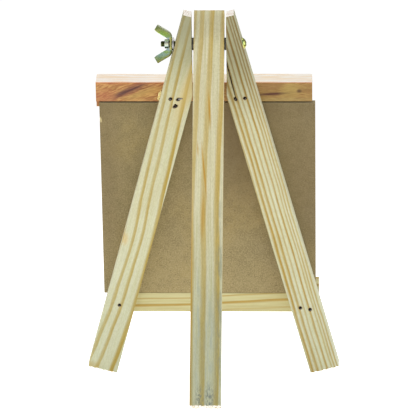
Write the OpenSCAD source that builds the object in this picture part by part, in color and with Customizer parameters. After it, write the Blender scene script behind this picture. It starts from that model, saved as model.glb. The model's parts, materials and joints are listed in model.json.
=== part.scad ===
// Small tabletop easel: two splayed front legs, one rear leg on a clamping bolt,
// and a board held between two rabbeted cross rails.
// Millimetres. +Z is up, the board faces -Y, and the ground is z = 0.

/* [Legs] */
// width of the pine strip that all three legs are cut from
strip_w = 24; // [20:0.8:30]
// thickness of that strip
strip_t = 12.5; // [11:0.5:15]
// length of each leg, ends cut square
leg_len = 320; // [260:1:390]
// sideways splay of each front leg, degrees
splay = 15; // [13:0.5:18]
// backward lean of the front legs and the board, degrees
lean = 18; // [12:1:20]
// distance from the front legs' inner top corners down to the bolt
pivot_drop = 20.7; // [17.1:0.2:26.1]
// length of the rear leg above the bolt
rear_top = 26; // [21:1:31]
// height of foot corner worn flat on the ground
foot_wear = 0.8; // [0.5:0.1:1.2]

/* [Rails and board] */
// how far the rails reach past the middle of the front legs, at the bottom rail
rail_past = 7.8; // [4.3:0.5:12.3]
// depth of each rail from its back face to its front face
rail_d = 18; // [14:0.5:22]
// height of the part of each rail behind the board edge
rail_h = 16.5; // [14:0.5:20]
// how far each rail's front lip overlaps the board
lip_h = 6.5; // [4:0.5:10]
// height of the bottom rail's lower edge, measured up the lean
low_rail_up = 50.5; // [35.5:1:65.5]
// distance from the bolt down to the top rail's lower edge
top_rail_drop = 52; // [46:1:80]
// thickness of the board
board_t = 5; // [3:0.5:6]
// distance the top rail sits off centre, towards +X
top_rail_shift = 5; // [0:0.5:8]
// distance the board sits off centre, towards +X
board_shift = 2.5; // [0:0.5:8]

/* [Hardware] */
// bolt diameter
bolt_d = 5; // [4:0.5:6]
// diameter of the bolt's round head
head_d = 10; // [9:0.5:11]
// height of the bolt's round head
head_h = 4; // [3.5:0.1:5]
// outer diameter of the flat washers
washer_d = 10; // [9:0.5:11]
// thickness of the washer under the wing nut
washer_t = 1.5; // [1:0.1:2]
// thickness of each spacer washer beside the rear leg
spacer_t = 1.5; // [1:0.1:2.5]
// height of the wing nut's threaded collar
nut_h = 6; // [5:0.5:8]
// bolt thread that shows beyond the collar
stub = 3; // [1:0.5:6]
// turn of the wing nut's wings on the bolt, away from the lean of the legs, degrees
nut_rest = 24; // [0:3:45]
// diameter of the brads
brad_d = 1.4; // [1:0.1:2]
// length of the brads
brad_len = 22; // [18:1:25]

/* [Hidden] */
$fn = 48;

// clearances
side_gap = 0.2;     // spacer washer to rear leg
board_gap = 0.15;   // board to rabbet, each face
board_play = 1.2;   // top of the board to the top rail
bore_gap = 0.1;     // bolt to the holes in the front legs and washers
pivot_gap = 0.06;   // bolt to the hole in the rear leg
thread_gap = 0.05;  // bolt to the wing nut
brad_sink = 1;      // brad head below the wood surface
brad_hole = 2;      // diameter of the hole above a brad head
nut_clear = 0.043;  // back of the wing nut, just past its flat base, to the leg's side face
head_seat = 1.4;    // bolt head pulled in behind the leg's side face

// wing nut, pressed from sheet
nut_sheet = 1.2;    // sheet thickness
nut_wide = 9;       // width of the pressed strip
nut_web = 5;        // depth of the folded side webs
nut_flat = 5.2;     // half height of the flat base
nut_bend = 6;       // outer radius of each bend
nut_turn = 59;      // turn of each bend, degrees
nut_wing = 9.8;     // straight length of each wing
collar_d = 7.4;

// leg positions; the legs' inner edges would reach leg_inner at the bolt if they were uncut
leg_inner = 2.2;
pivot_up = leg_len * cos(splay) - pivot_drop;
foot_half = pivot_up * tan(splay) + leg_inner;
top_rail_up = pivot_up - top_rail_drop;

// rails and board are one length
rail_len = 2 * (foot_half - low_rail_up * tan(splay) + strip_w / 2 / cos(splay) + rail_past);
board_w = rail_len;

// places along the bolt; the wing nut stands off far enough for its base to clear the spreading leg
cheek_x = strip_w / 2 + side_gap + spacer_t;
face_x = foot_half - pivot_up * tan(splay) + strip_w / cos(splay);
nut_reach = (nut_flat + nut_sheet) * cos(nut_rest) + nut_wide / 2 * sin(nut_rest);
nut_x = face_x + nut_reach * tan(splay) + nut_clear;
washer_x = nut_x - washer_t;
head_x = face_x - head_seat;
bolt_end = nut_x + nut_h + stub;
half_t = strip_t / 2;

// pivot above the ground, and the rear leg's slope
pivot_z = pivot_up * cos(lean) + half_t * sin(lean) - foot_wear;
rear_low = leg_len - rear_top;
rear_reach = sqrt(rear_low * rear_low + half_t * half_t);
rear_slope = acos((pivot_z + foot_wear) / rear_reach) + atan(half_t / rear_low);

// the origin is midway between the rail's front edge and the rear foot's back edge
front_y = (-half_t - rail_d) * cos(lean) + (low_rail_up - pivot_up) * sin(lean);
back_y = rear_low * sin(rear_slope) + half_t * cos(rear_slope);
pivot_y = -(front_y + back_y) / 2;

// rails and board, heights from the bolt
low_z = low_rail_up - pivot_up;
top_z = top_rail_up - pivot_up;
board_h = top_z - low_z - rail_h - board_play;
rabbet_d = board_t + 2 * board_gap;

// brads: [height up the lean, distance from the leg's centre line, side]
brad_list = [[low_rail_up + 11.5, 0.3, 1], [low_rail_up + 9.3, -4.5, -1],
             [low_rail_up + 8, 3, -1], [top_rail_up + 7.8, 4.7, 1],
             [top_rail_up + 6.6, -1.7, 1], [top_rail_up + 2.2, -0.7, 1],
             [top_rail_up + 8, -6.3, -1], [top_rail_up + 8, 1.6, -1]];

// from the leaning frame, with the bolt at its centre, to the ground
module leaning() {
    translate([0, pivot_y, pivot_z]) rotate([-lean, 0, 0]) children();
}

// cuts away all that is below the ground
module on_ground() {
    difference() {
        children();
        translate([-300, -300, -20]) cube([600, 600, 20]);
    }
}

// round bar along X from one x to another
module bar_x(d, from_x, to_x) {
    translate([from_x, 0, 0]) rotate([0, 90, 0]) cylinder(d = d, h = to_x - from_x);
}

// x of a front leg's centre line at a height up the lean
function leg_mid(up) = foot_half - up * tan(splay) + strip_w / 2 / cos(splay);

// place of one brad's point of entry
module at_brad(b) {
    translate([b[2] * (leg_mid(b[0]) + b[1]), half_t, b[0] - pivot_up])
        rotate([90, 0, 0]) children();
}

// hole for one brad, wider above its head
module brad_bore(b) {
    at_brad(b) translate([0, 0, -1]) cylinder(d = brad_hole, h = brad_sink + 1);
    at_brad(b) cylinder(d = brad_d, h = brad_sink + brad_len, $fn = 24);
}

// front leg, on the +X side when side is 1, with a flat seat cut for its hardware
module front_leg(side, seat_d, seat_x) {
    on_ground() leaning() difference() {
        scale_side(side) translate([foot_half, -half_t, -pivot_up]) rotate([0, -splay, 0])
            cube([strip_w, strip_t, leg_len]);
        scale_side(side) translate([cheek_x - 60, -20, -pivot_up]) cube([60, 40, leg_len + 60]);
        bar_x(bolt_d + 2 * bore_gap, -60, 60);
        scale_side(side) bar_x(seat_d, seat_x, 60);
        for (b = brad_list) if (b[2] == side) brad_bore(b);
    }
}

// mirrors a shape to the -X side when side is -1
module scale_side(side) {
    if (side > 0) children();
    if (side < 0) mirror([1, 0, 0]) children();
}

// rail with a rabbet along one back edge, its low edge at height z
module rail(z, up, shift) {
    lip_z = up > 0 ? z : z - lip_h;
    leaning() difference() {
        translate([shift - rail_len / 2, -half_t - rail_d, lip_z])
            cube([rail_len, rail_d, rail_h + lip_h]);
        translate([-rail_len, -half_t - rabbet_d, up > 0 ? z + rail_h : z - lip_h - 1])
            cube([2 * rail_len, rabbet_d + 1, lip_h + 1]);
        for (b = brad_list) brad_bore(b);
    }
}

// flat ring along X from one x to another
module washer(d, from_x, thick) {
    difference() {
        bar_x(d, from_x, from_x + thick);
        bar_x(bolt_d + 2 * bore_gap, from_x - 1, from_x + thick + 1);
    }
}

// one side of the wing nut's curve, from its base to its tip, at this radius of bend
function wing_line(r) = concat(
    [for (i = [0:8]) let(t = i * nut_turn / 8) [nut_bend - r * cos(t), nut_flat + r * sin(t)]],
    [[nut_bend - r * cos(nut_turn) + nut_wing * sin(nut_turn),
      nut_flat + r * sin(nut_turn) + nut_wing * cos(nut_turn)]]);

// the sheet from tip to tip, in [axial, radial] places
module sheet_outline() {
    outside = wing_line(nut_bend);
    inside = wing_line(nut_bend - nut_sheet);
    polygon(concat([for (i = [9:-1:0]) [outside[i][0], -outside[i][1]]], outside,
                   [for (i = [9:-1:0]) inside[i]], [for (p = inside) [p[0], -p[1]]]));
}

// one side web of one wing
module web_outline() {
    inside = wing_line(nut_bend - nut_web);
    polygon(concat(wing_line(nut_bend - nut_sheet / 2), [for (i = [9:-1:0]) inside[i]]));
}

module nut_side_leg() {
    color([0.83, 0.76, 0.58]) front_leg(1, washer_d + 0.6, washer_x);
}

module head_side_leg() {
    color([0.83, 0.76, 0.58]) front_leg(-1, head_d + 0.6, head_x);
}

module rear_leg() {
    color([0.85, 0.77, 0.56]) on_ground() translate([0, pivot_y, pivot_z])
        rotate([rear_slope, 0, 0]) difference() {
            translate([-strip_w / 2, -half_t, -rear_low]) cube([strip_w, strip_t, leg_len]);
            bar_x(bolt_d + 2 * pivot_gap, -60, 60);
        }
}

module top_rail() {
    color([0.66, 0.45, 0.27]) rail(top_z, -1, top_rail_shift);
}

module bottom_rail() {
    color([0.80, 0.71, 0.50]) rail(low_z, 1, 0);
}

module board() {
    color([0.57, 0.49, 0.33]) leaning()
        translate([board_shift - board_w / 2, -half_t - board_gap - board_t,
                   low_z + rail_h + board_gap])
            cube([board_w, board_t, board_h]);
}

module pivot_bolt() {
    color([0.72, 0.68, 0.42]) leaning() difference() {
        union() {
            bar_x(bolt_d, -head_x - 0.5, bolt_end);
            translate([-head_x, 0, 0]) rotate([0, -90, 0]) rotate_extrude()
                intersection() {
                    translate([0, head_h - bulge_r]) circle(r = bulge_r, $fn = 96);
                    square([head_d / 2, head_h]);
                }
        }
        translate([-head_x - head_h - 1, -head_d, -0.7]) cube([3, 2 * head_d, 1.4]);
    }
}

// radius of the bolt head's dome
bulge_r = (head_d * head_d / 4 + (head_h - 0.8) * (head_h - 0.8)) / 2 / (head_h - 0.8);

module nut_side_spacer() {
    color([0.55, 0.55, 0.52]) leaning() washer(washer_d, cheek_x - spacer_t, spacer_t);
}

module head_side_spacer() {
    color([0.55, 0.55, 0.52]) leaning() washer(washer_d, -cheek_x, spacer_t);
}

module nut_washer() {
    color([0.68, 0.68, 0.66]) leaning() washer(washer_d, washer_x, washer_t);
}

module wing_nut() {
    color([0.62, 0.68, 0.36]) leaning() translate([nut_x, 0, 0]) rotate([nut_rest, 0, 0]) difference() {
        union() {
            bar_x(collar_d, 0, nut_h);
            rotate([90, 0, 0]) translate([0, 0, -nut_wide / 2]) linear_extrude(nut_wide)
                sheet_outline();
            for (s = [0, 1], z = [-nut_wide / 2, nut_wide / 2 - nut_sheet])
                mirror([0, 0, s]) rotate([90, 0, 0]) translate([0, 0, z])
                    linear_extrude(nut_sheet) web_outline();
        }
        bar_x(bolt_d + 2 * thread_gap, -1, nut_h + 1);
    }
}

module brads() {
    color([0.50, 0.50, 0.50]) leaning() for (b = brad_list)
        at_brad(b) translate([0, 0, brad_sink]) cylinder(d = brad_d, h = brad_len, $fn = 24);
}

nut_side_leg();
head_side_leg();
rear_leg();
top_rail();
bottom_rail();
board();
pivot_bolt();
nut_side_spacer();
head_side_spacer();
nut_washer();
wing_nut();
brads();
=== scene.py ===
"""Looks of the tabletop easel. Sizes are in millimetres and scaled to metres when a piece is made."""

import json
import math

import bmesh
import bpy
from mathutils import Matrix, Vector, noise


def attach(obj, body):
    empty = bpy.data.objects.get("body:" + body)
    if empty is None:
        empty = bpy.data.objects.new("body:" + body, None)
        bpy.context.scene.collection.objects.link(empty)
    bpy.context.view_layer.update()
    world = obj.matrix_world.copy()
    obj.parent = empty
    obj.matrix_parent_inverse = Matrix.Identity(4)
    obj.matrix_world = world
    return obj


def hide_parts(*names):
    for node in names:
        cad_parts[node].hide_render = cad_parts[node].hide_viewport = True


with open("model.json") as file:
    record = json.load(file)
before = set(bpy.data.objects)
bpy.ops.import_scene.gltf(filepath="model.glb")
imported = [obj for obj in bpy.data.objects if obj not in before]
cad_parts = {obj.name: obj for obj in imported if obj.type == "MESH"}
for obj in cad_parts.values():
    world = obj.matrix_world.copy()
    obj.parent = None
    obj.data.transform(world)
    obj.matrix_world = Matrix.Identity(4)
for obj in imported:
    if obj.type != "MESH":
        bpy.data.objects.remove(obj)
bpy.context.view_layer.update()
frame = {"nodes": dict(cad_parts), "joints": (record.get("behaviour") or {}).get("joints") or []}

# ---------------------------------------------------------------- sizes shared with the model

STRIP_W, STRIP_T, LEG_LEN = 24.0, 12.5, 320.0
SPLAY, LEAN = math.radians(15), math.radians(18)
PIVOT_DROP, REAR_TOP, FOOT_WEAR = 20.7, 26.0, 0.8
LEG_INNER, RAIL_PAST, RAIL_H = 2.2, 7.8, 16.5
LOW_RAIL_UP, TOP_RAIL_DROP = 50.5, 52.0
TOP_RAIL_SHIFT, BOARD_SHIFT, BOARD_GAP = 5.0, 2.5, 0.15
SIDE_GAP, SPACER_T, WASHER_T, WASHER_OFF = 0.2, 1.5, 1.5, 0.6
BOLT_R, BOLT_STUB, PITCH = 2.5, 3.0, 0.8
HEAD_R, HEAD_H, HEAD_SINK, HEAD_RIM = 5.0, 4.0, 1.4, 0.8
NUT_FLAT, NUT_BEND, NUT_WING, NUT_TURN = 5.2, 6.0, 9.8, math.radians(59)
NUT_H, NUT_WIDE, NUT_SHEET, NUT_REST = 6.0, 9.0, 1.2, math.radians(24)
BORE_R = 2.62

HALF_T = STRIP_T / 2
PIVOT_UP = LEG_LEN * math.cos(SPLAY) - PIVOT_DROP
FOOT_HALF = PIVOT_UP * math.tan(SPLAY) + LEG_INNER
RAIL_LEN = 2 * (FOOT_HALF - LOW_RAIL_UP * math.tan(SPLAY) + STRIP_W / 2 / math.cos(SPLAY) + RAIL_PAST)
LOW_Z, TOP_Z = LOW_RAIL_UP - PIVOT_UP, -TOP_RAIL_DROP
FACE_X = LEG_INNER + STRIP_W / math.cos(SPLAY)
REAR_LOW = LEG_LEN - REAR_TOP
PIVOT_Z = PIVOT_UP * math.cos(LEAN) + HALF_T * math.sin(LEAN) - FOOT_WEAR
REAR_SLOPE = math.acos((PIVOT_Z + FOOT_WEAR) / math.hypot(REAR_LOW, HALF_T)) + math.atan(HALF_T / REAR_LOW)
PIVOT = Vector(next(j["pos_m"] for j in frame["joints"] if j["name"] == "rear_leg_swing"))

# places along the bolt
CHEEK_X = STRIP_W / 2 + SIDE_GAP + SPACER_T
WASHER_X, HEAD_X = FACE_X + WASHER_OFF, FACE_X - HEAD_SINK
NUT_X = WASHER_X + WASHER_T
BOLT_END = NUT_X + NUT_H + BOLT_STUB


# ---------------------------------------------------------------- each piece's own frame

def mm(x, y, z):
    return Matrix.Translation((x / 1000, y / 1000, z / 1000))


# LEANING has the bolt at its centre. The frames of the wooden pieces are turned so that X runs to the right
# as seen from behind, Y goes into the wood from the back face and Z is up.
LEANING = Matrix.Translation(PIVOT) @ Matrix.Rotation(-LEAN, 4, "X")
TURN = Matrix.Rotation(math.pi, 4, "Z")
NUT_LEG = (LEANING @ mm(FOOT_HALF, HALF_T, -PIVOT_UP) @ Matrix.Rotation(-SPLAY, 4, "Y")
           @ mm(STRIP_W, 0, 0) @ TURN)
HEAD_LEG = LEANING @ mm(-FOOT_HALF, HALF_T, -PIVOT_UP) @ Matrix.Rotation(SPLAY, 4, "Y") @ TURN
REAR_LEG = (Matrix.Translation(PIVOT) @ Matrix.Rotation(REAR_SLOPE, 4, "X")
            @ mm(STRIP_W / 2, HALF_T, -REAR_LOW) @ TURN)
TOP_RAIL = LEANING @ mm(TOP_RAIL_SHIFT + RAIL_LEN / 2, -HALF_T, TOP_Z) @ TURN
LOW_RAIL = LEANING @ mm(RAIL_LEN / 2, -HALF_T, LOW_Z) @ TURN
BOARD = (LEANING @ mm(BOARD_SHIFT + RAIL_LEN / 2, -HALF_T - BOARD_GAP, LOW_Z + RAIL_H + BOARD_GAP)
         @ TURN)
NUT = LEANING @ mm(NUT_X, 0, 0) @ Matrix.Rotation(NUT_REST, 4, "X")


# ---------------------------------------------------------------- shader helpers

class Nodes:
    """A material's node tree with short ways to add nodes."""

    def __init__(self, name, where=None):
        self.inverse = (where or Matrix.Identity(4)).inverted()
        self.material = bpy.data.materials.new(name)
        self.material.use_nodes = True
        self.tree = self.material.node_tree
        self.shader = self.tree.nodes["Principled BSDF"]

    def add(self, kind, inputs=None, out=0, **settings):
        node = self.tree.nodes.new("ShaderNode" + kind)
        for key, value in settings.items():
            setattr(node, key, value)
        for key, value in (inputs or {}).items():
            self.put(node.inputs[key], value)
        return node.outputs[out]

    def put(self, socket, value):
        if isinstance(value, bpy.types.NodeSocket):
            self.tree.links.new(value, socket)
        elif socket.type == "RGBA":
            socket.default_value = (*value, 1)[:4]
        else:
            socket.default_value = value

    def math(self, operation, a, b=0.0, c=0.0, clamp=False):
        return self.add("Math", {0: a, 1: b, 2: c}, operation=operation, use_clamp=clamp)

    def plus(self, *values):
        total = values[0]
        for value in values[1:]:
            total = self.math("ADD", total, value)
        return total

    def minus(self, a, b):
        return self.math("SUBTRACT", a, b)

    def times(self, *values):
        total = values[0]
        for value in values[1:]:
            total = self.math("MULTIPLY", total, value)
        return total

    def scaled(self, value, size, shift):
        return self.math("MULTIPLY_ADD", value, size, shift)

    def step(self, value, start, end, low=0.0, high=1.0):
        return self.add("MapRange", {"Value": value, "From Min": start, "From Max": end,
                                     "To Min": low, "To Max": high}, interpolation_type="SMOOTHSTEP")

    def mix(self, share, a, b, blend="MIX"):
        node = self.tree.nodes.new("ShaderNodeMix")
        node.data_type, node.blend_type = "RGBA", blend
        for key, value in ((0, share), (6, a), (7, b)):
            self.put(node.inputs[key], value)
        return node.outputs[2]

    def places(self):
        """Place on the piece in millimetres, as a vector and its three parts."""
        place = {"Vector": self.add("TexCoord", out=3), "Location": self.inverse.translation,
                 "Rotation": self.inverse.to_euler()}
        here = self.add("Mapping", place, vector_type="POINT")
        here = self.add("VectorMath", {0: here, 3: 1000.0}, operation="SCALE")
        parts = self.tree.nodes.new("ShaderNodeSeparateXYZ")
        self.tree.links.new(here, parts.inputs[0])
        return here, parts.outputs

    def facing(self):
        """How squarely the surface faces along the piece's X, Y and Z, each from 0 to 1."""
        normal = self.add("VectorTransform", {0: self.add("NewGeometry", out=3)}, vector_type="NORMAL",
                          convert_from="WORLD", convert_to="OBJECT")
        normal = self.add("VectorRotate", {"Vector": normal, "Rotation": self.inverse.to_euler()},
                          rotation_type="EULER_XYZ")
        parts = self.tree.nodes.new("ShaderNodeSeparateXYZ")
        self.tree.links.new(self.add("VectorMath", {0: normal}, operation="ABSOLUTE"), parts.inputs[0])
        return parts.outputs

    def noise(self, here, stretch, detail=3.0, rough=0.55, shift=0.0):
        """Noise whose cells have this size in millimetres along each axis, from 0 to 1."""
        cells = self.add("VectorMath", {0: here, 1: tuple(1 / s for s in stretch),
                                        2: (shift, shift * 0.7, shift * 1.3)}, operation="MULTIPLY_ADD")
        return self.add("TexNoise", {"Vector": cells, "Scale": 1.0, "Detail": detail, "Roughness": rough})

    def ramp(self, value, stops, ease="EASE"):
        """A colour ramp from (place, colour or grey level) stops."""
        node = self.tree.nodes.new("ShaderNodeValToRGB")
        node.color_ramp.interpolation = ease
        marks = node.color_ramp.elements
        while len(marks) > 1:
            marks.remove(marks[0])
        marks[0].position = stops[0][0]
        for place, _ in stops[1:]:
            marks.new(place)
        for mark, (_, colour) in zip(marks, stops):
            mark.color = (*colour, 1) if isinstance(colour, tuple) else (colour, colour, colour, 1)
        self.put(node.inputs[0], value)
        return node.outputs[0]

    def curve(self, value, start, end, points):
        """A smooth curve through (value, result) points; results may run from -16 to 16."""
        share = self.add("MapRange", {"Value": value, "From Min": start, "From Max": end})
        node = self.tree.nodes.new("ShaderNodeFloatCurve")
        line = node.mapping.curves[0]
        spots = [((v - start) / (end - start), (r + 16) / 32) for v, r in points]
        while len(line.points) < len(spots):
            line.points.new(0.5, 0.5)
        for point, spot in zip(line.points, spots):
            point.location = spot
        node.mapping.update()
        self.tree.links.new(share, node.inputs[1])
        return self.scaled(node.outputs[0], 32.0, -16.0)

    def spot(self, parts, centre, size, slant=0.0, soft=0.5):
        """1 within an oval on the back face, centre and half sizes in millimetres, fading to 0 outside."""
        x = self.minus(parts[0], centre[0])
        z = self.minus(parts[2], centre[1])
        c, s = math.cos(slant), math.sin(slant)
        across = self.plus(self.times(x, c / size[0]), self.times(z, s / size[0]))
        along = self.plus(self.times(x, -s / size[1]), self.times(z, c / size[1]))
        far = self.math("SQRT", self.plus(self.times(across, across), self.times(along, along)))
        return self.step(far, 1 - soft, 1 + soft, 1.0, 0.0)

    def marks(self, parts, colour, soft, marks):
        """Oval marks laid over a colour: (centre, half sizes, slant, share, tone)."""
        for centre, size, slant, share, tone in marks:
            colour = self.mix(self.times(self.spot(parts, centre, size, slant, soft), share), colour, tone)
        return colour

    def bump(self, height, strength, distance=0.0002, under=None):
        inputs = {"Height": height, "Strength": strength, "Distance": distance}
        if under is not None:
            inputs["Normal"] = under
        return self.add("Bump", inputs)

    def finish(self, colour, rough, normal=None, **others):
        self.put(self.shader.inputs["Base Color"], colour)
        self.put(self.shader.inputs["Roughness"], rough)
        if normal is not None:
            self.put(self.shader.inputs["Normal"], normal)
        for key, value in others.items():
            self.put(self.shader.inputs[key.replace("_", " ")], value)
        return self.material


def linear(r, g, b):
    """Linear colour from a colour in 0 to 255 display values."""
    return tuple((c / 255 / 12.92) if c <= 10 else ((c / 255 + 0.055) / 1.055) ** 2.4 for c in (r, g, b))


# ---------------------------------------------------------------- mesh helpers

def make_piece(name, bm, where, material, body, slot, *nodes):
    """Makes one piece from a bmesh in its own frame, hangs it on the body it rides on and hides the model's
    parts it stands for.
    """
    bmesh.ops.recalc_face_normals(bm, faces=bm.faces)
    bmesh.ops.transform(bm, matrix=where @ Matrix.Scale(0.001, 4), verts=bm.verts)
    mesh = bpy.data.meshes.new(name)
    bm.to_mesh(mesh)
    bm.free()
    piece = bpy.data.objects.new(name, mesh)
    bpy.context.scene.collection.objects.link(piece)
    mesh.materials.append(material)
    for face in mesh.polygons:
        face.use_smooth = True
    mesh.set_sharp_from_angle(angle=math.radians(32))
    weigh = piece.modifiers.new("even normals", "WEIGHTED_NORMAL")
    weigh.keep_sharp = True
    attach(piece, body)
    if nodes:
        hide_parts(*nodes)


def from_cad(node, where):
    """The model's shape as a bmesh in millimetres in its own frame, with flat faces joined."""
    bm = bmesh.new()
    bm.from_mesh(frame["nodes"][node].data)
    bmesh.ops.transform(bm, matrix=Matrix.Scale(1000, 4) @ where.inverted(), verts=bm.verts)
    bmesh.ops.remove_doubles(bm, verts=bm.verts, dist=0.002)
    bmesh.ops.dissolve_limit(bm, angle_limit=math.radians(0.6), verts=bm.verts, edges=bm.edges)
    return bm


def soften(bm, width, segments=2, steeper=35.0):
    """Rounds the edges that turn by more than this many degrees."""
    edges = [e for e in bm.edges if len(e.link_faces) == 2 and e.calc_face_angle(0) > math.radians(steeper)]
    bmesh.ops.bevel(bm, geom=edges, offset=width, segments=segments, profile=0.6, affect="EDGES",
                    clamp_overlap=True)
    return bm


def slice_at(bm, point, normal):
    bmesh.ops.bisect_plane(bm, geom=list(bm.verts) + list(bm.edges) + list(bm.faces), dist=0.0005,
                           plane_co=point, plane_no=normal)


def cut(bm, cutter):
    """bm with the cutter's shape taken away."""
    work = []
    for each in (bm, cutter):
        bmesh.ops.recalc_face_normals(each, faces=each.faces)
        mesh = bpy.data.meshes.new("work")
        each.to_mesh(mesh)
        work.append(bpy.data.objects.new("work", mesh))
        bpy.context.scene.collection.objects.link(work[-1])
        each.free()
    tool = work[0].modifiers.new("cut", "BOOLEAN")
    tool.operation, tool.solver, tool.object = "DIFFERENCE", "EXACT", work[1]
    bpy.context.view_layer.update()
    result = bpy.data.meshes.new_from_object(work[0].evaluated_get(bpy.context.evaluated_depsgraph_get()))
    made = bmesh.new()
    made.from_mesh(result)
    for each in work:
        bpy.data.objects.remove(each)
    return made


def lathe(profile, turns=48, shape=None):
    """Surface of revolution about X from (x, radius) points; shape may change (x, radius, angle)."""
    bm = bmesh.new()
    rows = []
    for x, r in profile:
        row = []
        for k in range(turns):
            a = 2 * math.pi * k / turns
            px, pr = shape(x, r, a) if shape else (x, r)
            row.append(bm.verts.new((px, pr * math.cos(a), pr * math.sin(a))))
        rows.append(row)
    for low, high in zip(rows, rows[1:]):
        for k in range(turns):
            bm.faces.new((low[k], low[(k + 1) % turns], high[(k + 1) % turns], high[k]))
    return bm, rows


def rod(profile, turns=48, shape=None):
    """A lathed solid with both its ends closed."""
    bm, rows = lathe(profile, turns, shape)
    bm.faces.new(rows[0])
    bm.faces.new(list(reversed(rows[-1])))
    return bm


def blob(bm, centre, size, turn=0.0, rough=0.0, seed=0.0):
    """Adds a closed egg, turned in the XZ plane; rough makes it uneven."""
    rings, turns = 10, 16
    spin = Matrix.Rotation(turn, 3, "Y")

    def at(p):
        swell = 1 + rough * noise.noise(Vector(p) * 1.7 + Vector((seed, seed, seed)))
        return bm.verts.new(Vector(centre) + spin @ Vector(c * s * swell for c, s in zip(p, size)))

    rows = []
    for i in range(1, rings):
        t = math.pi * i / rings
        angles = [2 * math.pi * k / turns for k in range(turns)]
        rows.append([at((math.sin(t) * math.cos(a), math.sin(t) * math.sin(a), math.cos(t))) for a in angles])
    top, bottom = at((0, 0, 1)), at((0, 0, -1))
    for k in range(turns):
        j = (k + 1) % turns
        bm.faces.new((top, rows[0][k], rows[0][j]))
        bm.faces.new((bottom, rows[-1][j], rows[-1][k]))
        for low, high in zip(rows, rows[1:]):
            bm.faces.new((low[k], high[k], high[j], low[j]))
    return bm


# ---------------------------------------------------------------- pine

PALE = linear(204, 204, 176)
GOLD = linear(171, 146, 66)

# growth bands may lie between these places across the grain, so that those past an edge can bend into view
RING_LOW, RING_HIGH = -20.0, 44.0

# a growth band's outline: (offset in band widths, share of its strength). A ramp holds 32 stops at most, so
# the leg with ten bands takes the outline with fewer.
BROAD_BAND = ((-0.72, 0), (-0.15, 0.85), (0.32, 1), (0.6, 0))
NARROW_BAND = ((-0.85, 0), (0.1, 1), (0.65, 0))


def growth(n, ring, bands, outline=BROAD_BAND):
    """Strength of the growth bands at a place across the grain; bands are (place, width, strength)."""
    share = n.add("MapRange", {"Value": ring, "From Min": RING_LOW, "From Max": RING_HIGH})
    stops = [(0.0, 0.0)]
    for centre, width, strength in bands:
        for offset, level in outline:
            stops.append(((centre + offset * width - RING_LOW) / (RING_HIGH - RING_LOW), level * strength))
    return n.ramp(share, stops)


def leg_rings(n, here, parts, lines, tilt, seed):
    """Place across the growth bands, and the fray that is part of it. The lines bend the bands at the face's
    left and right edge."""
    left, right = (n.curve(parts[2], 0, LEG_LEN, line) for line in lines)
    share = n.math("DIVIDE", parts[0], STRIP_W, clamp=True)
    bend = n.plus(left, n.times(share, n.minus(right, left)))
    wave = n.scaled(n.noise(here, (18, 18, 42), 2, shift=seed), 1.5, -0.75)
    fray = n.scaled(n.noise(here, (0.9, 0.9, 22), 2, shift=seed + 3), 0.9, -0.45)
    return n.plus(n.minus(parts[0], bend), wave, fray, n.times(parts[1], tilt)), fray


def clean_pine(n, here, band, fibre, pale, gold, seed):
    """Fresh sawn pine with its growth bands, soft streaks and grit."""
    dull = (0.93 * pale[0], 0.93 * pale[1], 0.82 * pale[2])
    warm = tuple(p * 0.55 + g * 0.45 for p, g in zip(pale, gold))
    streak = n.noise(here, (1.6, 1.6, 60), 3, 0.6, seed + 9)
    wash = n.noise(here, (14, 14, 70), 2, shift=seed + 11)
    grit = n.noise(here, (0.45, 0.45, 2.2), 3, 0.7, seed + 15)
    colour = n.mix(n.step(streak, 0.35, 0.68), pale, dull)
    colour = n.mix(n.step(wash, 0.4, 0.75, 0.0, 0.35), colour, warm)
    colour = n.mix(n.math("MINIMUM", band, 1.0), colour, gold)
    colour = n.mix(n.step(fibre, 0.3, 0.75, 0.0, 0.2), colour, (0.95, 0.93, 0.8), "SOFT_LIGHT")
    return n.mix(n.step(grit, 0.36, 0.62, 0.6, 0.0), colour, (0.8, 0.78, 0.7), "MULTIPLY")


def lit_sides_and_rubbed_corners(n, face, end, colour):
    """Side faces painted paler as painted light, and corners along the length that are rubbed darker."""
    # painted light: the side faces are painted paler
    colour = n.mix(n.step(face[0], 0.7, 0.95, 0.0, 0.12), colour, linear(250, 248, 236))
    flat = n.math("MAXIMUM", face[0], face[1])
    corner = n.times(n.step(flat, 0.86, 0.985, 1.0, 0.0), n.minus(1.0, end))
    return n.mix(n.times(corner, 0.6), colour, linear(196, 150, 82))


def end_grain(n, parts, end, fray, colour):
    """Sawn ends painted near white, partly as painted light from above, with reddish growth lines."""
    bow = n.scaled(parts[1], 1.3, parts[0])
    lines = n.step(n.math("PINGPONG", n.scaled(fray, 1.2, bow), 1.9), 1.3, 1.75)
    # partly painted light: the sawn ends are painted near white
    return n.mix(end, colour, n.mix(lines, linear(240, 239, 230), linear(186, 132, 112)))


def leg_pine(name, where, bands, lines, pale, gold, tilt, seed, looks, outline=BROAD_BAND):
    """Pine of one leg; looks(nodes, here, parts, colour, band) adds what only that leg has."""
    n = Nodes(name, where)
    here, parts = n.places()
    ring, fray = leg_rings(n, here, parts, lines, tilt, seed)
    fade = n.step(n.noise(here, (9, 9, 75), 2, shift=seed + 5), 0.3, 0.7, 0.85, 1.15)
    band = n.times(growth(n, ring, bands, outline), fade)
    fibre = n.noise(here, (0.32, 0.32, 9), 3, 0.6, seed + 7)
    face = n.facing()
    end = n.step(face[2], 0.75, 0.9)
    colour = clean_pine(n, here, band, fibre, pale, gold, seed)
    colour = lit_sides_and_rubbed_corners(n, face, end, colour)
    colour = looks(n, here, parts, colour, band)
    colour = end_grain(n, parts, end, fray, colour)
    normal = n.bump(n.scaled(band, 0.6, n.times(fibre, 0.5)), 0.35, 0.00025)
    normal = n.bump(n.noise(here, (0.12, 0.12, 1.6), 2, shift=seed + 13), 0.25, 0.00008, normal)
    rough = n.step(band, 0.0, 1.0, 0.72, 0.56)
    return n.finish(colour, rough, normal, Specular_IOR_Level=0.3)


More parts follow.
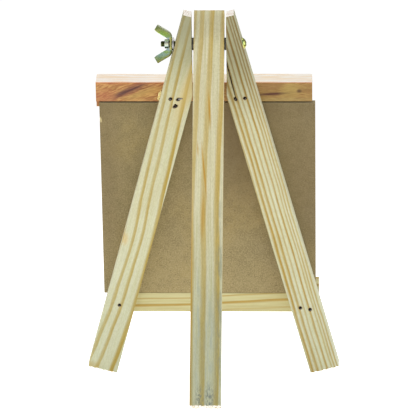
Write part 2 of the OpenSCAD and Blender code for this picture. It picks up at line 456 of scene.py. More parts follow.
def holes(n, parts, colour, places):
    """Brad holes painted dark as painted shade, with a bruised rim: (x, z, half width, half height, slant).
    """
    for x, z, rx, rz, slant in places:
        rim = n.times(n.spot(parts, (x, z), (rx * 1.5, rz * 1.5), slant, 0.3), 0.5)
        colour = n.mix(rim, colour, linear(150, 110, 50))
        # painted shade inside each brad hole
        hole_shade = n.spot(parts, (x, z), (rx * 1.2, rz * 1.2), slant, 0.12)
        colour = n.mix(hole_shade, colour, (0.02, 0.013, 0.008))
    return colour


def grey_foot(n, parts, colour, share):
    return n.mix(n.step(parts[2], 150, 0, 0.0, share), colour, (0.82, 0.86, 0.9), "MULTIPLY")


def nut_leg_looks(n, here, parts, colour, band):
    """Top painted olive as painted shade, grey foot with a gold edge, a glow, a small knot and four brad
    holes.
    """
    # painted shade: the top of the leg is painted darker olive
    colour = n.mix(n.step(parts[2], 250, 312, 0.0, 0.66), colour, linear(122, 118, 82))
    colour = grey_foot(n, parts, colour, 0.7)
    colour = n.marks(parts, colour, 0.6, [((21.5, 276), (5.5, 42), -0.14, 0.55, linear(206, 180, 110))])
    colour = n.marks(parts, colour, 0.7, [((1.8, 120), (2.2, 5), 0.2, 0.5, linear(206, 170, 100))])
    edge = n.times(n.step(parts[2], 2, 9, 0.55, 0.0), n.step(parts[0], 1, 13, 1.0, 0.0))
    colour = n.mix(edge, colour, GOLD)
    return holes(n, parts, colour, [(7.7, 248, 1.1, 1.35, -0.85), (13.7, 249.2, 1.1, 1.5, -0.85),
                                    (12.9, 242.8, 1.1, 1.8, -0.85), (11.5, 61, 1.15, 1.15, 0)])


def head_leg_looks(n, here, parts, colour, band):
    """Top painted dark with darker bands as painted shade, grey foot, the split painted dark as painted
    shade, and four brad holes.
    """
    # painted shade: the top of the leg is darkened, its bands more so
    dark = n.step(parts[2], 215, 300, 0.0, 1.0)
    colour = n.mix(dark, colour, (0.6, 0.58, 0.52), "MULTIPLY")
    colour = n.mix(n.times(dark, n.times(band, 0.5)), colour, linear(96, 74, 36))
    colour = grey_foot(n, parts, colour, 0.6)
    # painted shade: near black along the split
    colour = n.mix(n.spot(parts, (7.1, 266), (0.42, 16.5), -0.035, 0.25), colour, (0.03, 0.02, 0.012))
    return holes(n, parts, colour, [(6.2, 250.6, 1.1, 1.4, 0.3), (13.6, 249.4, 1.25, 1.2, 0),
                                    (7.5, 60, 1.15, 1.25, 0), (14.7, 56.6, 1.2, 1.3, 0)])


def rear_leg_looks(n, here, parts, colour, band):
    """Resin streaks, a soiled and rubbed lower half, and saw marks beside the bolt."""
    resin = linear(196, 150, 52)
    colour = n.marks(parts, colour, 0.8, [
        ((13.1, 238), (0.8, 12), 0.06, 0.9, resin), ((9.4, 188), (0.7, 18), 0.1, 0.9, resin),
        ((8.8, 152), (1.3, 16), -0.02, 0.6, resin), ((0.4, 70), (0.7, 80), 0.0, 0.8, resin),
        ((4.2, 206), (0.6, 5), 0.05, 0.6, resin)])
    colour = n.mix(n.step(parts[2], 190, 20), colour, (0.71, 0.78, 0.8), "MULTIPLY")
    streaks = n.noise(here, (0.7, 0.7, 34), 3, 0.65, 35)
    colour = n.mix(n.step(streaks, 0.42, 0.62, 0.0, 0.4), colour, (0.74, 0.7, 0.56), "MULTIPLY")
    rub = n.noise(here, (2.0, 2.0, 16), 4, 0.6, 31)
    side = n.times(n.step(rub, 0.4, 0.62), n.spot(parts, (22.3, 80), (3.2, 80), 0.0, 0.6))
    middle = n.times(n.step(rub, 0.42, 0.62), n.spot(parts, (14.5, 42), (3.5, 42), 0.0, 0.8))
    left = n.times(n.step(rub, 0.42, 0.62), n.spot(parts, (6, 60), (2.4, 40), 0.0, 0.8))
    colour = n.mix(n.times(side, 0.6), colour, linear(130, 136, 116))
    colour = n.mix(n.times(n.math("MAXIMUM", middle, left), 0.6), colour, linear(158, 168, 156))
    soil = n.noise(here, (1.1, 1.1, 3.2), 4, 0.7, 33)
    for centre, size in (((7.5, 6), (2.6, 9)), ((15.5, 6), (3.2, 11))):
        low = n.times(n.step(soil, 0.44, 0.6), n.spot(parts, centre, size, 0.0, 0.7))
        colour = n.mix(n.times(low, 0.85), colour, linear(104, 112, 108))
    saw = n.step(n.noise(here, (5, 3, 1.1), 3, 0.7, 37), 0.45, 0.6, 0.0, 0.35)
    beside_bolt = n.spot(parts, (19, 275), (6, 50), 0.0, 0.5)
    return n.mix(n.times(saw, beside_bolt), colour, (0.86, 0.84, 0.76), "MULTIPLY")


def nut_leg_pine():
    bands = [(-12.5, 2.6, 0.7), (-4.4, 2.4, 0.75), (4.3, 2.6, 0.75), (10.9, 2.6, 0.82), (20.3, 3.2, 1.0),
             (27.5, 3.0, 0.85), (35.0, 2.6, 0.7)]
    left = [(0, -6.5), (20, -3.4), (40, -1.8), (60, 0.6), (80, 1.4), (100, 2.9), (120, 3.9), (140, 2.9),
            (160, 1.4), (200, 0), (240, -1.1), (280, -2.8), (320, -3.6)]
    right = [(0, -0.4), (20, 0.8), (40, 2.2), (60, 2.9), (120, 3.2), (140, 2.7), (180, 0.9), (200, 0),
             (220, -0.9), (260, -2.6), (280, -2.9), (320, -4)]
    return leg_pine("pine nut side", NUT_LEG, bands, (left, right), PALE, GOLD, 0.8, 1.0, nut_leg_looks)


def head_leg_pine():
    bands = [(-8.5, 2, 0.7), (-3.6, 1.8, 0.7), (0.5, 1.5, 0.7), (4.0, 2.5, 1.0), (7.8, 2.4, 1.0),
             (11.5, 1.5, 0.75), (15.3, 1.9, 1.0), (18.7, 1.4, 0.75), (20.9, 1.3, 0.85), (23.2, 1.3, 0.8)]
    left = [(0, -2.2), (60, -1.7), (120, -1.0), (200, 0), (260, -0.4), (320, 0.3)]
    right = [(0, -0.3), (60, -0.7), (120, -0.5), (200, 0), (320, 0.2)]
    return leg_pine("pine head side", HEAD_LEG, bands, (left, right), PALE, linear(170, 140, 60), 0.7, 17.0,
                    head_leg_looks, NARROW_BAND)


def rear_leg_pine():
    bands = [(-6.5, 3.0, 0.7), (0.0, 4.4, 0.75), (9.2, 4.6, 0.9), (19.8, 4.4, 1.0), (28, 3, 0.8),
             (36, 3, 0.7)]
    left = [(0, 0.2), (100, 0.1), (160, 0), (200, 0.8), (220, 1.9), (240, 2.8), (260, 3.6), (280, 5.2),
            (310, 7.4), (320, 8.2)]
    right = [(0, 0.4), (120, 0.3), (160, -0.6), (200, 0.2), (240, 1.8), (260, 2.4), (300, 3.2), (320, 3.8)]
    return leg_pine("pine rear", REAR_LEG, bands, (left, right), linear(220, 215, 184), linear(198, 173, 100),
                    0.55, 41.0, rear_leg_looks)


# ---------------------------------------------------------------- legs

TORN_FOOT, SAWN_TOP = 2.6, 1.2


def leg(node, where, seed, foot=0.8):
    """A leg with rounded corners, a torn foot and an uneven sawn top."""
    across, deep, top_tear = 20, 6, 0.25
    bm = from_cad(node, where)
    for z in (TORN_FOOT, LEG_LEN - SAWN_TOP):
        slice_at(bm, (0, 0, z), (0, 0, 1))
    for k in range(1, across):
        slice_at(bm, (STRIP_W * k / across + 0.3 * math.sin(9.1 * k + seed), 0, 0), (1, 0, 0))
    for k in range(1, deep):
        slice_at(bm, (0, STRIP_T * k / deep, 0), (0, 1, 0))
    soften(bm, 0.45, 3, steeper=60)
    for v in bm.verts:
        x, y, z = v.co
        broad = 0.5 + 0.5 * noise.noise(Vector((x * 0.55, y * 0.5, seed)))
        tear = max(0.0, broad + 0.35 * noise.noise(Vector((x * 1.6, y * 1.3, seed + 4))))
        if z < TORN_FOOT - 0.01:
            teeth = 0.55 * max(0.0, math.sin(1.75 * x + 0.5 * y + seed))
            v.co.z += foot * (tear + teeth) * (1 - z / TORN_FOOT)
        if z > LEG_LEN - SAWN_TOP + 0.01:
            v.co.z -= top_tear * tear * (z - LEG_LEN + SAWN_TOP) / SAWN_TOP
    return bm


def nut_leg():
    """The leg with a groove where the bent brad lies, and a dent below it."""
    groove = blob(bmesh.new(), (14.9, 0.15, 250.0), (0.75, 0.95, 2.6), 1.15, rough=0.3)
    blob(groove, (12.9, 0.1, 242.7), (0.7, 1.3, 1.5), 1.0, rough=0.3, seed=3)
    return cut(leg("nut_side_leg", NUT_LEG, 2.0), groove)


def head_leg():
    """The leg with a long split that starts at a brad and wanders up the grain."""
    start, length, steps, depth = 249.6, 33.0, 14, 5.5
    split = bmesh.new()
    left, right = [], []
    for k in range(steps + 1):
        z = start + length * k / steps
        wide = 0.2 + 0.12 * (k % 2) + 0.012 * k
        x = 6.5 + 0.30 * math.sin(k * 1.9) * (k % 3) / 2 + 0.035 * (z - 250)
        left.append([split.verts.new((x - wide, y, z)) for y in (-1, depth)])
        right.append([split.verts.new((x + wide, y, z)) for y in (-1, depth)])
    for k in range(steps):
        for low, high in ((left[k], left[k + 1]), (right[k + 1], right[k])):
            split.faces.new((low[0], low[1], high[1], high[0]))
        split.faces.new((left[k][0], left[k + 1][0], right[k + 1][0], right[k][0]))
        split.faces.new((left[k][1], right[k][1], right[k + 1][1], left[k + 1][1]))
    split.faces.new((left[0][0], right[0][0], right[0][1], left[0][1]))
    split.faces.new((left[-1][0], left[-1][1], right[-1][1], right[-1][0]))
    return cut(leg("head_side_leg", HEAD_LEG, 7.0, foot=1.2), split)


def legs():
    make_piece("nut_side_leg_wood", nut_leg(), NUT_LEG, nut_leg_pine(), "frame", "pine", "nut_side_leg")
    make_piece("head_side_leg_wood", head_leg(), HEAD_LEG, head_leg_pine(), "frame", "pine", "head_side_leg")
    make_piece("rear_leg_wood", leg("rear_leg", REAR_LEG, 12.0, foot=1.2), REAR_LEG, rear_leg_pine(),
               "rear_leg", "pine", "rear_leg")


# ---------------------------------------------------------------- board

def board_material():
    """Speckled brown hardboard, darker in clouds, painted darker towards the top and in brown patches as
    painted shade, with a pale chip and a top edge painted pale as painted light.
    """
    n = Nodes("hardboard", BOARD)
    here, parts = n.places()
    fine = n.noise(here, (1.1, 1.1, 1.1), 4, 0.65, 3)
    mottle = n.noise(here, (7, 7, 7), 3, 0.6, 8)
    cloud = n.noise(here, (45, 45, 60), 2, 0.5, 12)
    specks = n.noise(here, (0.8, 0.8, 1.1), 1, 0.4, 21)
    colour = n.ramp(cloud, [(0.25, linear(142, 128, 90)), (0.5, linear(152, 136, 93)),
                            (0.75, linear(162, 143, 92))])
    colour = n.mix(n.step(mottle, 0.35, 0.7, 0.0, 0.5), colour, linear(130, 117, 82))
    colour = n.mix(n.step(fine, 0.42, 0.64, 0.0, 0.6), colour, linear(180, 163, 120))
    # painted shade: darker towards the top
    colour = n.mix(n.step(parts[2], -10, 110, 0.0, 1.0), colour, (0.77, 0.76, 0.74), "MULTIPLY")
    # painted shade: brown patches between the legs near the top, along the top and at the left and right
    # edges
    brown = linear(112, 94, 64)
    colour = n.marks(parts, colour, 0.9, [
        ((112, 152), (24, 62), 0.0, 0.75, brown), ((66, 160), (16, 30), 0.0, 0.4, brown),
        ((168, 90), (34, 100), 0.0, 0.45, brown), ((3, 110), (10, 90), 0.0, 0.35, brown),
        ((60, 166), (120, 9), 0.0, 0.3, brown)])
    colour = n.mix(n.step(specks, 0.64, 0.74, 0.0, 0.6), colour, linear(96, 80, 52))
    colour = n.mix(n.spot(parts, (0.7, 153.5), (0.9, 2.4), 0.2, 0.4), colour, linear(196, 180, 132))
    # painted light: the top edge is painted pale where it faces up
    colour = n.mix(n.step(parts[2], 167.6, 168.6, 0.0, 0.6), colour, linear(206, 194, 156))
    normal = n.bump(fine, 0.35, 0.0002)
    normal = n.bump(n.noise(here, (0.35, 0.35, 0.35), 2, shift=5), 0.3, 0.0001, normal)
    return n.finish(colour, n.step(mottle, 0.3, 0.7, 0.62, 0.8), normal, Specular_IOR_Level=0.3)


def board():
    chip = blob(bmesh.new(), (-0.2, 0.2, 153.5), (1.1, 1.4, 2.4), 0.2, rough=0.6, seed=2)
    make_piece("board_panel", cut(soften(from_cad("board", BOARD), 0.3), chip), BOARD, board_material(),
               "board", "hardboard", "board")


# ---------------------------------------------------------------- rails

def heartwood_grain(n, here, parts):
    """Reddish grain that rises to the right on the left half and runs level on the right."""
    climb = n.step(parts[0], 50, 110, 0.36, 0.04)
    warp = n.scaled(n.noise(here, (30, 12, 12), 2, 0.5, 2), 7.0, -3.5)
    level = n.plus(parts[2], n.times(parts[0], climb, -1.0), warp)
    grain = n.add("CombineXYZ", {0: n.math("DIVIDE", parts[0], 22.0), 1: n.math("DIVIDE", parts[1], 6.0),
                                 2: n.math("DIVIDE", level, 2.6)})
    band = n.add("TexNoise", {"Vector": grain, "Scale": 1.0, "Detail": 3.0, "Roughness": 0.6})
    return n.ramp(band, [(0.3, linear(138, 86, 52)), (0.42, linear(172, 116, 70)),
                         (0.5, linear(206, 162, 98)), (0.57, linear(168, 114, 68)),
                         (0.7, linear(194, 156, 86))])


def heartwood_marks(n, parts, colour):
    """Dark streaks on the left, a knot with its swirl on the right, and pale and red patches."""
    marks = (((27, 9.5), (2.8, 15), -1.12, 0.85, (132, 84, 66)),
             ((28, 9.9), (0.7, 10), -1.14, 0.9, (84, 50, 50)),
             ((19, 4.6), (0.4, 6), -1.1, 0.8, (104, 64, 50)),
             ((39, 11.6), (0.4, 8), -1.2, 0.7, (120, 78, 50)),
             ((50, 5.2), (0.5, 8), -1.2, 0.6, (150, 108, 60)),
             ((21, 7.5), (1.3, 6), -1.12, 0.7, (92, 62, 58)),
             ((6, 4), (9, 6), 0.2, 0.5, (178, 104, 76)),
             ((34, 6), (2.0, 12), -1.15, 0.55, (176, 150, 84)),
             ((44, 8), (2.6, 11), -1.15, 0.5, (206, 166, 92)),
             ((142, 6.6), (13, 1.1), 0.06, 1.0, (92, 56, 42)),
             ((137, 13), (14, 3), 0.1, 0.5, (160, 120, 76)),
             ((155, 10), (7, 6), 0.3, 0.5, (186, 164, 92)),
             ((162, 9.0), (1.8, 1.4), 0.0, 0.9, (96, 70, 46)),
             ((150, 1.8), (20, 1.6), 0.0, 0.5, (176, 156, 96)))
    return n.marks(parts, colour, 0.7, [(*mark[:4], linear(*mark[4])) for mark in marks])


def red_material():
    """Heartwood of the top rail, with a red upper edge, shade in the rabbet, and a top face painted near
    white as painted light.
    """
    n = Nodes("red pine", TOP_RAIL)
    here, parts = n.places()
    colour = heartwood_grain(n, here, parts)
    colour = n.mix(n.step(parts[0], 70, 130, 0.0, 0.65), colour, linear(148, 124, 68))
    blush = n.times(n.step(parts[2], 12.5, 17, 0.0, 0.5), n.step(parts[0], 50, 75, 1.0, 0.3))
    colour = n.mix(blush, colour, linear(186, 106, 68))
    colour = heartwood_marks(n, parts, colour)
    fibre = n.noise(here, (6, 0.4, 0.4), 3, 0.65, 6)
    colour = n.mix(n.step(fibre, 0.4, 0.62, 0.0, 0.6), colour, (0.62, 0.55, 0.48), "MULTIPLY")
    rim = n.times(n.step(parts[2], 15.6, 16.3), n.step(parts[1], 0.2, 0.9, 1.0, 0.0))
    colour = n.mix(n.times(rim, 0.6), colour, linear(206, 118, 66))
    # the shade stops short of the end where the lip shows past the board
    shade = n.times(n.step(parts[2], 0.4, -0.05), n.step(parts[1], 5.7, 5.4), n.step(parts[0], 2.2, 2.8))
    colour = n.mix(n.times(shade, 0.93), colour, (0.05, 0.034, 0.022))
    # painted light: the top face is painted near white, with streaks
    streaks = n.step(n.noise(here, (26, 3.2, 5), 3, 0.6, 19), 0.4, 0.62)
    painted_top_light = n.mix(streaks, linear(248, 244, 236), linear(244, 226, 200))
    above = n.times(n.step(n.facing()[2], 0.7, 0.95), n.step(parts[2], 8, 9))
    colour = n.mix(n.times(above, 0.86), colour, painted_top_light)
    return n.finish(colour, 0.62, n.bump(fibre, 0.3, 0.0002), Specular_IOR_Level=0.3)


def low_rail_material():
    """Pale pine of the bottom rail, with growth bands that rise to the right."""
    n = Nodes("pine low rail", LOW_RAIL)
    here, parts = n.places()
    rise = n.curve(parts[0], 0, 172, [(0, -2.6), (26, -2.0), (68, -1.2), (93, 0.6), (147, 3.4), (172, 4.4)])
    wave = n.scaled(n.noise(here, (50, 14, 14), 2, shift=3), 1.6, -0.8)
    ring = n.plus(parts[2], n.times(rise, -1.0), wave, n.times(parts[1], 0.5))
    band = growth(n, ring, [(-6, 2.6, 0.6), (1.0, 1.8, 0.4), (7.4, 2.4, 1.0), (13.4, 1.3, 0.7),
                            (20, 2.6, 0.8), (27, 2.5, 0.7)])
    fibre = n.noise(here, (9, 0.35, 0.35), 3, 0.6, 5)
    streaks = n.step(n.noise(here, (60, 2, 2), 3, 0.6, 9), 0.35, 0.7)
    colour = n.mix(streaks, linear(198, 191, 143), linear(186, 176, 125))
    colour = n.mix(n.math("MINIMUM", band, 1.0), colour, linear(172, 141, 66))
    colour = n.mix(n.step(fibre, 0.3, 0.75, 0.0, 0.2), colour, (0.95, 0.93, 0.8), "SOFT_LIGHT")
    return n.finish(colour, 0.62, n.bump(fibre, 0.3, 0.0002), Specular_IOR_Level=0.3)


def rails():
    for node, where, material, slot in (("top_rail", TOP_RAIL, red_material(), "red_pine"),
                                        ("bottom_rail", LOW_RAIL, low_rail_material(), "pine")):
        shape = soften(from_cad(node, where), 0.35, 3, steeper=60)
        make_piece(node + "_wood", shape, where, material, "frame", slot, node)


# ---------------------------------------------------------------- metal

def zinc(n, here, fine, shaded):
    """Passivated zinc. shaded adds a piece's own tints to the plating's green, yellow and pink."""
    tint = n.noise(here, (5, 4, 5), 2, 0.5, 4)
    plating = n.ramp(tint, [(0.3, linear(120, 150, 96)), (0.45, linear(168, 172, 84)),
                            (0.6, linear(206, 200, 104)), (0.75, linear(196, 160, 120))], "LINEAR")
    colour = shaded(plating)
    rough = n.step(fine, 0.3, 0.75, 0.24, 0.42)
    return n.finish(colour, rough, n.bump(fine, 0.12, 0.0001), Metallic=1.0)


def glints(n, fine, colour):
    return n.mix(n.step(fine, 0.4, 0.7, 0.0, 0.18), colour, (0.9, 0.88, 0.66))


def bolt_zinc():
    """The bolt's plating, dark on the threaded end."""
    n = Nodes("yellow zinc", LEANING)
    here, parts = n.places()
    fine = n.noise(here, (0.5, 0.5, 0.5), 3, 0.6, 9)

    def shaded(plating):
        return n.mix(n.step(parts[0], 24, 26, 0.0, 0.75), glints(n, fine, plating), linear(62, 66, 40))

    return zinc(n, here, fine, shaded)


def nut_tints(n, parts, colour):
    """Outer band painted pale on the upper wing as painted light and olive on the lower wing as painted
    shade, a yellow base, and a groove round the collar painted dark as painted shade. A point's depth into
    the bent sheet is measured from the bend's centre, or square to the wing past the bend."""
    up = n.math("ABSOLUTE", parts[2])
    away = n.minus(NUT_BEND, parts[0])
    past = n.math("MAXIMUM", n.minus(up, NUT_FLAT), 0.0)
    in_bend = n.minus(NUT_BEND, n.math("SQRT", n.plus(n.times(away, away), n.times(past, past))))
    c, s = math.cos(NUT_TURN), math.sin(NUT_TURN)
    in_wing = n.minus(NUT_BEND, n.plus(n.times(away, c), n.times(past, s)))
    on_wing = n.math("GREATER_THAN", n.times(past, c), n.times(away, s))
    deep = n.plus(n.times(on_wing, n.minus(in_wing, in_bend)), in_bend)
    # painted light and shade: the outer band is pale on the upper wing and olive on the lower wing
    side = n.mix(n.step(parts[2], -2, 2), linear(104, 104, 30), linear(222, 230, 196))
    outer = n.times(n.step(deep, 1.7, 1.0), n.step(up, 4.4, 6.4))
    colour = n.mix(n.times(outer, 0.85), colour, side)
    base = n.times(n.step(parts[0], 2.3, 1.7), n.step(up, 5.6, 4.0))
    colour = n.mix(n.times(base, 0.85), colour, linear(232, 226, 118))
    # painted shade: a near black groove round the collar
    groove = n.times(n.step(parts[0], 3.1, 2.7), n.step(parts[0], 1.5, 1.9), n.step(up, 3.9, 2.9))
    return n.mix(n.times(groove, 0.9), colour, (0.03, 0.035, 0.06))


def nut_zinc():
    """The wing nut's plating, whose tints follow its height."""
    n = Nodes("iridescent zinc", NUT)
    here, parts = n.places()
    fine = n.noise(here, (0.5, 0.5, 0.5), 3, 0.6, 9)
    reach = 20.0
    tints = ((-15, (84, 112, 58)), (-11, (104, 146, 108)), (-8, (124, 164, 168)), (-6, (134, 176, 72)),
             (-4.4, (150, 180, 206)), (0, (212, 216, 196)), (4.2, (156, 184, 214)), (5.8, (116, 168, 92)),
             (8, (142, 176, 70)), (11, (140, 154, 92)), (13.5, (84, 104, 44)))
    stops = [((z + reach) / 2 / reach, linear(*tone)) for z, tone in tints]

    def shaded(plating):
        sway = n.scaled(n.noise(here, (2.2, 2.2, 2.2), 3, 0.6, 15), 5.0, -2.5)
        height = n.plus(parts[2], sway)
        share = n.add("MapRange", {"Value": height, "From Min": -reach, "From Max": reach})
        return glints(n, fine, nut_tints(n, parts, n.mix(0.8, plating, n.ramp(share, stops, "LINEAR"))))

    return zinc(n, here, fine, shaded)


def steel(name, tone, rough=0.42):
    n = Nodes(name, LEANING)
    here, _ = n.places()
    fine = n.noise(here, (0.6, 0.4, 0.4), 3, 0.6, 2)
    colour = n.mix(n.step(fine, 0.35, 0.7, 0.0, 0.5), tone, tuple(0.6 * c for c in tone))
    normal = n.bump(fine, 0.15, 0.0001)
    return n.finish(colour, n.step(fine, 0.3, 0.7, rough, rough + 0.15), normal, Metallic=1.0)


def bolt():
    """Domed slotted head, plain shank, and a thread from just inside the nut to the end."""
    thread_start, row = NUT_X - 2, 0.1
    rise = HEAD_H - HEAD_RIM
    radius = (HEAD_R * HEAD_R + rise * rise) / 2 / rise
    crown = -HEAD_X - HEAD_H

    def threaded(x, r, a):
        if x < thread_start or x > BOLT_END - 0.55 or r < 2.4:
            return x, r
        turn = (x / PITCH + a / (2 * math.pi)) % 1.0
        return x, r - 0.46 * abs(1 - 2 * turn)

    profile = [(crown + 0.0001, 0.02)]
    for k in range(1, 15):
        r = HEAD_R * k / 14
        profile.append((crown + radius - math.sqrt(radius * radius - r * r), r))
    profile += [(-HEAD_X - 0.3, HEAD_R), (-HEAD_X - 0.05, 4.85), (-HEAD_X, 4.7), (-HEAD_X, BOLT_R)]
    profile += [(thread_start - 0.5, BOLT_R)]
    profile += [(thread_start + row * k, BOLT_R) for k in range(int((BOLT_END - 0.5 - NUT_X + 2) / row))]
    profile += [(BOLT_END - 0.45, 2.2), (BOLT_END - 0.05, 1.85), (BOLT_END, 1.7), (BOLT_END, 0.02)]
    slot = bmesh.new()
    bmesh.ops.create_cube(slot, size=1.0)
    bmesh.ops.scale(slot, vec=(3, 20, 1.4), verts=slot.verts)
    bmesh.ops.translate(slot, vec=(crown + 0.5, 0, 0), verts=slot.verts)
    return cut(rod(profile, 48, threaded), slot)


def nut_path():
    """The sheet's outer line as (axial, radial, turn) from one wing tip to the other."""
    half = [(0.0, 0.0, 0.0), (0.0, 2.0, 0.0), (0.0, 4.0, 0.0)]
    for k in range(13):
        t = NUT_TURN * k / 12
        half.append((NUT_BEND - NUT_BEND * math.cos(t), NUT_FLAT + NUT_BEND * math.sin(t), t))
    bend_a, bend_r, _ = half[-1]
    for k in range(1, 9):
        d = NUT_WING * k / 8
        half.append((bend_a + d * math.sin(NUT_TURN), bend_r + d * math.cos(NUT_TURN), NUT_TURN))
    return [(a, -r, -t) for a, r, t in reversed(half[1:])] + half


def nut_section(depth, curve):
    """Outline of the folded sheet, (depth, place across) all round, with rounded shoulders and rims."""
    w, lip = NUT_WIDE / 2, 0.35
    arc = [(math.sin(k * math.pi / 8), 1 - math.cos(k * math.pi / 8)) for k in range(5)]
    outer = [(w - curve + curve * s, curve * c) for s, c in arc]
    inner = [(w - curve + (curve - NUT_SHEET) * s, curve - (curve - NUT_SHEET) * (1 - c)) for s, c in arc]
    rim = [(w, max(depth - lip, curve)), (w - lip, max(depth, curve)),
           (w - NUT_SHEET + lip, max(depth, curve)), (w - NUT_SHEET, max(depth - lip, curve))]
    right = outer + rim + list(reversed(inner))
    return right + [(-q, p) for q, p in reversed(right)]


def wing_nut():
    """Pressed wing nut: a rounded channel swept from tip to tip, shallow at the collar, deep on the wings."""
    curve, wing_depth, shallow_to, deep_from = 1.5, 5.7, 1.6, 6.0
    tip_start, tip_length, tip_drop = 8, 1.2, 0.5
    path = nut_path()
    last = abs(path[0][1])
    bm = bmesh.new()
    rows = []
    for a, r, t in path:
        share = min(1.0, max(0.0, (abs(r) - shallow_to) / (deep_from - shallow_to)))
        depth = curve + (wing_depth - curve) * share * share * (3 - 2 * share)
        tip = min(1.0, (last - abs(r)) / tip_length) if abs(r) > tip_start else 1.0
        # the sheet folds towards the centres of its bends
        fold = (math.cos(t), -math.sin(t))
        rows.append([bm.verts.new((a + p * fold[0], q, r + p * fold[1]))
                     for q, p in nut_section(depth - tip_drop * (1 - tip), curve)])
    count = len(rows[0])
    for low, high in zip(rows, rows[1:]):
        for k in range(count):
            bm.faces.new((low[k], low[(k + 1) % count], high[(k + 1) % count], high[k]))
    for row, flip in ((rows[0], False), (rows[-1], True)):
        for k in range(count // 2 - 1):
            quad = (row[k], row[k + 1], row[count - 2 - k], row[count - 1 - k])
            bm.faces.new(tuple(reversed(quad)) if flip else quad)
    return cut(bm, rod([(-1, BORE_R), (3, BORE_R)]))


def tube(profile):
    """A lathed ring whose profile comes back to its first point."""
    bm, _ = lathe(profile)
    bmesh.ops.remove_doubles(bm, verts=bm.verts, dist=0.0005)
    return bm


def nut_collar():
    return tube([(1.0, BORE_R), (1.0, 3.6), (1.35, 3.05), (2.1, 3.0), (2.5, 3.3), (2.7, 3.7), (5.6, 3.7),
                 (5.85, 3.62), (6.0, 3.4), (6.0, 2.9), (5.7, BORE_R), (1.0, BORE_R)])


def washer(x, thick):
    outer, inner, edge = 5.0, 2.6, 0.25
    return tube([(x, inner), (x, outer - edge * 0.4), (x + edge * 0.5, outer), (x + thick - edge, outer),
                 (x + thick - edge * 0.3, outer - edge * 0.3), (x + thick, outer - edge),
                 (x + thick, inner + edge), (x + thick - edge, inner), (x, inner)])


def hardware(dull_steel):
    # painted shade: the spacers between the legs get a darker steel colour
    spacer_steel_painted_shade = steel("dark steel", (0.14, 0.13, 0.12), 0.5)
    brad_steel = steel("brad steel", (0.022, 0.018, 0.014), 0.75)
    make_piece("pivot_bolt_zinc", bolt(), LEANING, bolt_zinc(), "frame", "yellow_zinc", "pivot_bolt")
    make_piece("nut_side_spacer_steel", washer(CHEEK_X - SPACER_T, SPACER_T), LEANING, spacer_steel_painted_shade, "frame",
               "steel", "nut_side_spacer")
    make_piece("head_side_spacer_steel", washer(-CHEEK_X, SPACER_T), LEANING, spacer_steel_painted_shade, "frame",
               "steel", "head_side_spacer")
    make_piece("nut_washer_steel", washer(WASHER_X, WASHER_T), LEANING, dull_steel, "nut_washer",
               "steel", "nut_washer")
    plating = nut_zinc()
    make_piece("wing_nut_zinc", wing_nut(), NUT, plating, "wing_nut", "yellow_zinc", "wing_nut")
    make_piece("wing_nut_collar", nut_collar(), NUT, plating, "wing_nut", "yellow_zinc", "wing_nut")
    make_piece("brads_steel", soften(from_cad("brads", LEANING), 0.15, steeper=60), LEANING, brad_steel,
               "frame", "steel", "brads")


# ---------------------------------------------------------------- glue and bent brad

def glue():
    n = Nodes("glue", NUT_LEG)
    here, _ = n.places()
    lumps = n.noise(here, (0.8, 0.8, 1.2), 3, 0.6, 4)
    colour = n.mix(n.step(lumps, 0.4, 0.65), linear(238, 226, 160), linear(214, 180, 96))
    material = n.finish(colour, 0.5, n.bump(lumps, 0.5, 0.0003))
    bead = blob(bmesh.new(), (-0.35, 12.0, 244.2), (1.5, 1.3, 3.6), -0.1, rough=0.45)
    blob(bead, (-0.7, 11.6, 241.6), (1.1, 1.0, 1.6), 0.3, rough=0.5, seed=4)
    make_piece("glue_bead", bead, NUT_LEG, material, "frame", "pine")


def bent_brad(material):
    """The end of a brad that missed, lying in its groove."""
    shape = rod([(-1.7, 0.05), (-1.7, 0.36), (-1.55, 0.46), (1.6, 0.46), (1.85, 0.3), (1.9, 0.05)], 20)
    lying = NUT_LEG @ mm(15.1, 0.52, 249.95) @ Matrix.Rotation(-0.42, 4, "Y")
    make_piece("bent_brad", shape, lying, material, "frame", "steel")


# ---------------------------------------------------------------- stage

def link(name, data):
    thing = bpy.data.objects.new(name, data)
    bpy.context.scene.collection.objects.link(thing)
    return thing


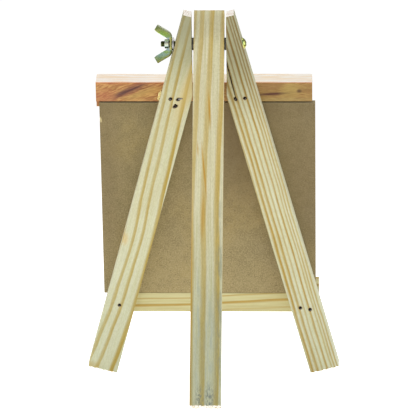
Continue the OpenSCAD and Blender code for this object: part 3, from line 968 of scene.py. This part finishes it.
def floor():
    reach = 9
    n = Nodes("floor")
    n.finish((0.92, 0.92, 0.92), 0.9, Emission_Color=(1, 1, 1), Emission_Strength=0.76)
    bm = bmesh.new()
    corners = ((-reach, -reach), (reach, -reach), (reach, reach), (-reach, reach))
    bm.faces.new([bm.verts.new((x, y, 0)) for x, y in corners])
    mesh = bpy.data.meshes.new("floor")
    bm.to_mesh(mesh)
    mesh.materials.append(n.material)
    link("floor", mesh)


def lights():
    """A soft white world and four area lights: (name, place, size, power), in metres and watts."""
    world = bpy.data.worlds.new("soft white")
    bpy.context.scene.world = world
    world.use_nodes = True
    sky = world.node_tree.nodes["Background"]
    sky.inputs["Color"].default_value = (1, 1, 1, 1)
    sky.inputs["Strength"].default_value = 0.3
    aim = Vector((0, 0, 0.15))
    lamps = (("top", (0.1, -0.2, 1.6), 1.2, 14), ("left", (1.5, 0.3, 0.6), 1.0, 9),
             ("right", (-1.5, 0.25, 0.6), 1.0, 8.6), ("back", (0.5, 2.6, 0.9), 1.6, 4.5))
    for name, place, size, power in lamps:
        light = bpy.data.lights.new(name, "AREA")
        light.size, light.energy = size, power
        lamp = link(name, light)
        lamp.location = place
        lamp.rotation_euler = (aim - lamp.location).to_track_quat("-Z", "Y").to_euler()


def camera():
    """A long lens behind the easel and a little above it."""
    aim, distance = Vector((0.000953, 0, 0.145854)), 3.166133
    yaw, pitch, roll = (math.radians(a) for a in (-2.059, 6.406, -0.176))
    lens = bpy.data.cameras.new("camera")
    lens.sensor_width, lens.lens = 36.0, 346.15
    lens.clip_start, lens.clip_end = 0.1, 30
    cam = link("camera", lens)
    ahead = Vector((-math.sin(yaw) * math.cos(pitch), -math.cos(yaw) * math.cos(pitch), -math.sin(pitch)))
    right = Vector((-math.cos(yaw), math.sin(yaw), 0))
    up = right.cross(ahead)
    across = right * math.cos(roll) + up * math.sin(roll)
    above = up * math.cos(roll) - right * math.sin(roll)
    turn = Matrix((across, above, -ahead)).transposed().to_4x4()
    cam.matrix_world = Matrix.Translation(aim - ahead * distance) @ turn
    bpy.context.scene.camera = cam


washer_steel = steel("dull steel", (0.42, 0.42, 0.41))
legs()
board()
rails()
hardware(washer_steel)
glue()
bent_brad(washer_steel)
floor()
lights()
camera()
bpy.context.scene.view_settings.view_transform = "Standard"
